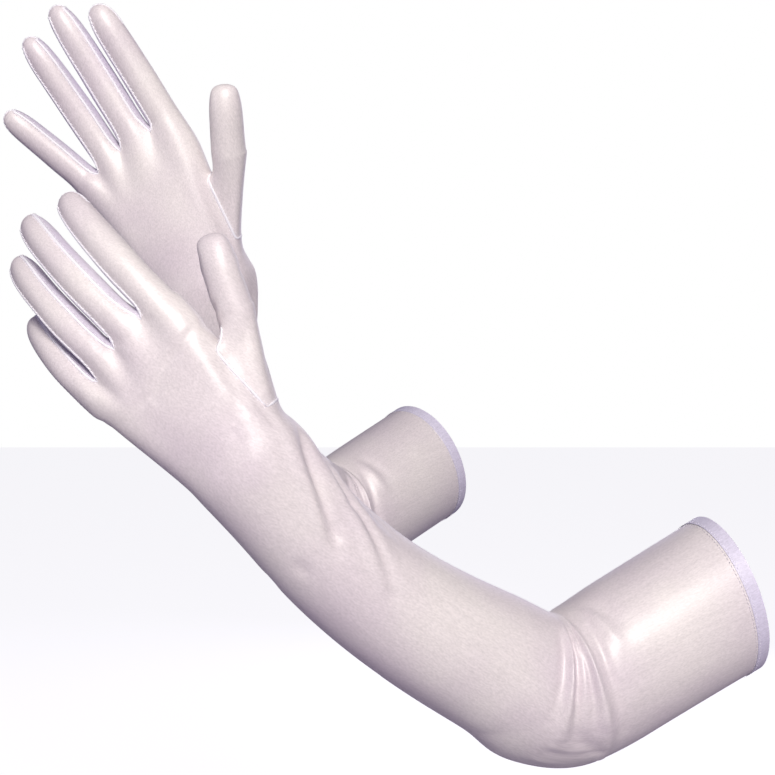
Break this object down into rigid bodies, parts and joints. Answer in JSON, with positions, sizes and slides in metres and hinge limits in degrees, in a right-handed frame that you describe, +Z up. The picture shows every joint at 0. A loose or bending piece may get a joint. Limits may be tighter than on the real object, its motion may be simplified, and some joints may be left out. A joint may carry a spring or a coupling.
{
  "type": "pair of opera gloves",
  "caption": "Above-elbow gloves in stretch satin, shaped as worn with bent elbows and open hands; cloth panels hinge at elbow, wrist and fingers.",
  "frame": {"origin": "centre of the left glove's arm opening", "axes": "+Z up, +X towards the arm openings, +Y from the left glove to the right glove, away from the viewer"},
  "size_m": [0.4432, 0.4039, 0.4343],
  "materials": {
    "back_satin": "stretch satin, lustrous face",
    "palm_satin": "stretch satin, lustrous face",
    "fourchette_satin": "stretch satin strip, stitched on both edges",
    "hem_satin": "satin, turned up and stitched"
  },
  "bodies": {
    "left_upper_arm": {"left_hem": "hem_satin", "left_upper_back": "back_satin", "left_upper_palm": "palm_satin", "left_elbow_fold": "back_satin"},
    "left_forearm": {"left_forearm_back": "back_satin", "left_forearm_palm": "palm_satin", "left_wrist_fold": "back_satin"},
    "left_hand": {"left_hand_back": "back_satin", "left_hand_palm": "palm_satin", "left_finger_crotches": "back_satin", "left_thumb_base": "back_satin"},
    "left_thumb": {"left_thumb": "back_satin"},
    "left_index_finger": {"left_index_back": "back_satin", "left_index_palm": "palm_satin", "left_index_ulnar_fourchette": "fourchette_satin"},
    "left_middle_finger": {"left_middle_back": "back_satin", "left_middle_palm": "palm_satin", "left_middle_radial_fourchette": "fourchette_satin", "left_middle_ulnar_fourchette": "fourchette_satin"},
    "left_ring_finger": {"left_ring_back": "back_satin", "left_ring_palm": "palm_satin", "left_ring_radial_fourchette": "fourchette_satin", "left_ring_ulnar_fourchette": "fourchette_satin"},
    "left_little_finger": {"left_little_back": "back_satin", "left_little_palm": "palm_satin", "left_little_radial_fourchette": "fourchette_satin"},
    "right_upper_arm": {"right_hem": "hem_satin", "right_upper_back": "back_satin", "right_upper_palm": "palm_satin", "right_elbow_fold": "back_satin"},
    "right_forearm": {"right_forearm_back": "back_satin", "right_forearm_palm": "palm_satin", "right_wrist_fold": "back_satin"},
    "right_hand": {"right_hand_back": "back_satin", "right_hand_palm": "palm_satin", "right_finger_crotches": "back_satin", "right_thumb_base": "back_satin"},
    "right_thumb": {"right_thumb": "back_satin"},
    "right_index_finger": {"right_index_back": "back_satin", "right_index_palm": "palm_satin", "right_index_ulnar_fourchette": "fourchette_satin"},
    "right_middle_finger": {"right_middle_back": "back_satin", "right_middle_palm": "palm_satin", "right_middle_radial_fourchette": "fourchette_satin", "right_middle_ulnar_fourchette": "fourchette_satin"},
    "right_ring_finger": {"right_ring_back": "back_satin", "right_ring_palm": "palm_satin", "right_ring_radial_fourchette": "fourchette_satin", "right_ring_ulnar_fourchette": "fourchette_satin"},
    "right_little_finger": {"right_little_back": "back_satin", "right_little_palm": "palm_satin", "right_little_radial_fourchette": "fourchette_satin"}
  },
  "joints": [
    {"name": "pair_spacing", "type": "slide", "parent": "left_upper_arm", "child": "right_upper_arm", "axis": [0, 1, 0], "range_m": [0, 0.2]},
    {"name": "left_elbow_bend", "type": "hinge", "parent": "left_upper_arm", "child": "left_forearm", "pos_m": [-0.10547, -0.02984, -0.04158], "axis": [-0.3221, 0.9354, 0.1458], "range_deg": [-60, 20], "deforming": ["left_elbow_fold"]},
    {"name": "left_wrist_bend", "type": "hinge", "parent": "left_forearm", "child": "left_hand", "pos_m": [-0.27526, -0.10781, 0.08356], "axis": [-0.7092, 0.1729, -0.6835], "range_deg": [-25, 20], "deforming": ["left_wrist_fold"]},
    {"name": "left_thumb_bend", "type": "hinge", "parent": "left_hand", "child": "left_thumb", "pos_m": [-0.27985, -0.11818, 0.16266], "axis": [-0.948, 0.1416, -0.2849], "range_deg": [-10, 25], "deforming": ["left_thumb_base"]},
    {"name": "left_index_bend", "type": "hinge", "parent": "left_hand", "child": "left_index_finger", "pos_m": [-0.32768, -0.12118, 0.17549], "axis": [-0.6968, 0.1747, -0.6957], "range_deg": [-10, 60], "deforming": ["left_finger_crotches"]},
    {"name": "left_middle_bend", "type": "hinge", "parent": "left_hand", "child": "left_middle_finger", "pos_m": [-0.34723, -0.11732, 0.16506], "axis": [-0.6584, 0.1798, -0.7309], "range_deg": [-10, 60]},
    {"name": "left_ring_bend", "type": "hinge", "parent": "left_hand", "child": "left_ring_finger", "pos_m": [-0.35834, -0.11296, 0.14828], "axis": [-0.6385, 0.1821, -0.7477], "range_deg": [-10, 60]},
    {"name": "left_little_bend", "type": "hinge", "parent": "left_hand", "child": "left_little_finger", "pos_m": [-0.36215, -0.10867, 0.12817], "axis": [-0.6182, 0.1843, -0.7641], "range_deg": [-10, 60]},
    {"name": "right_elbow_bend", "type": "hinge", "parent": "right_upper_arm", "child": "right_forearm", "pos_m": [-0.24798, 0.1644, 0.03603], "axis": [-0.717, 0.6195, 0.3194], "range_deg": [-60, 20], "deforming": ["right_elbow_fold"]},
    {"name": "right_wrist_bend", "type": "hinge", "parent": "right_forearm", "child": "right_hand", "pos_m": [-0.31207, 0.01218, 0.1874], "axis": [0.8792, -0.1338, 0.4574], "range_deg": [-25, 20], "deforming": ["right_wrist_fold"]},
    {"name": "right_thumb_bend", "type": "hinge", "parent": "right_hand", "child": "right_thumb", "pos_m": [-0.29447, -0.01425, 0.26066], "axis": [0.9967, 0.0581, 0.0566], "range_deg": [-10, 25], "deforming": ["right_thumb_base"]},
    {"name": "right_index_bend", "type": "hinge", "parent": "right_hand", "child": "right_index_finger", "pos_m": [-0.33672, -0.01423, 0.2879], "axis": [0.8664, -0.1394, 0.4795], "range_deg": [-10, 60], "deforming": ["right_finger_crotches"]},
    {"name": "right_middle_bend", "type": "hinge", "parent": "right_hand", "child": "right_middle_finger", "pos_m": [-0.35793, -0.01242, 0.28376], "axis": [0.8664, -0.1394, 0.4795], "range_deg": [-10, 60]},
    {"name": "right_ring_bend", "type": "hinge", "parent": "right_hand", "child": "right_ring_finger", "pos_m": [-0.37373, -0.00896, 0.27075], "axis": [0.8484, -0.1467, 0.5085], "range_deg": [-10, 60]},
    {"name": "right_little_bend", "type": "hinge", "parent": "right_hand", "child": "right_little_finger", "pos_m": [-0.38576, -0.00379, 0.25079], "axis": [0.6762, -0.1969, 0.7099], "range_deg": [-10, 60]}
  ]
}
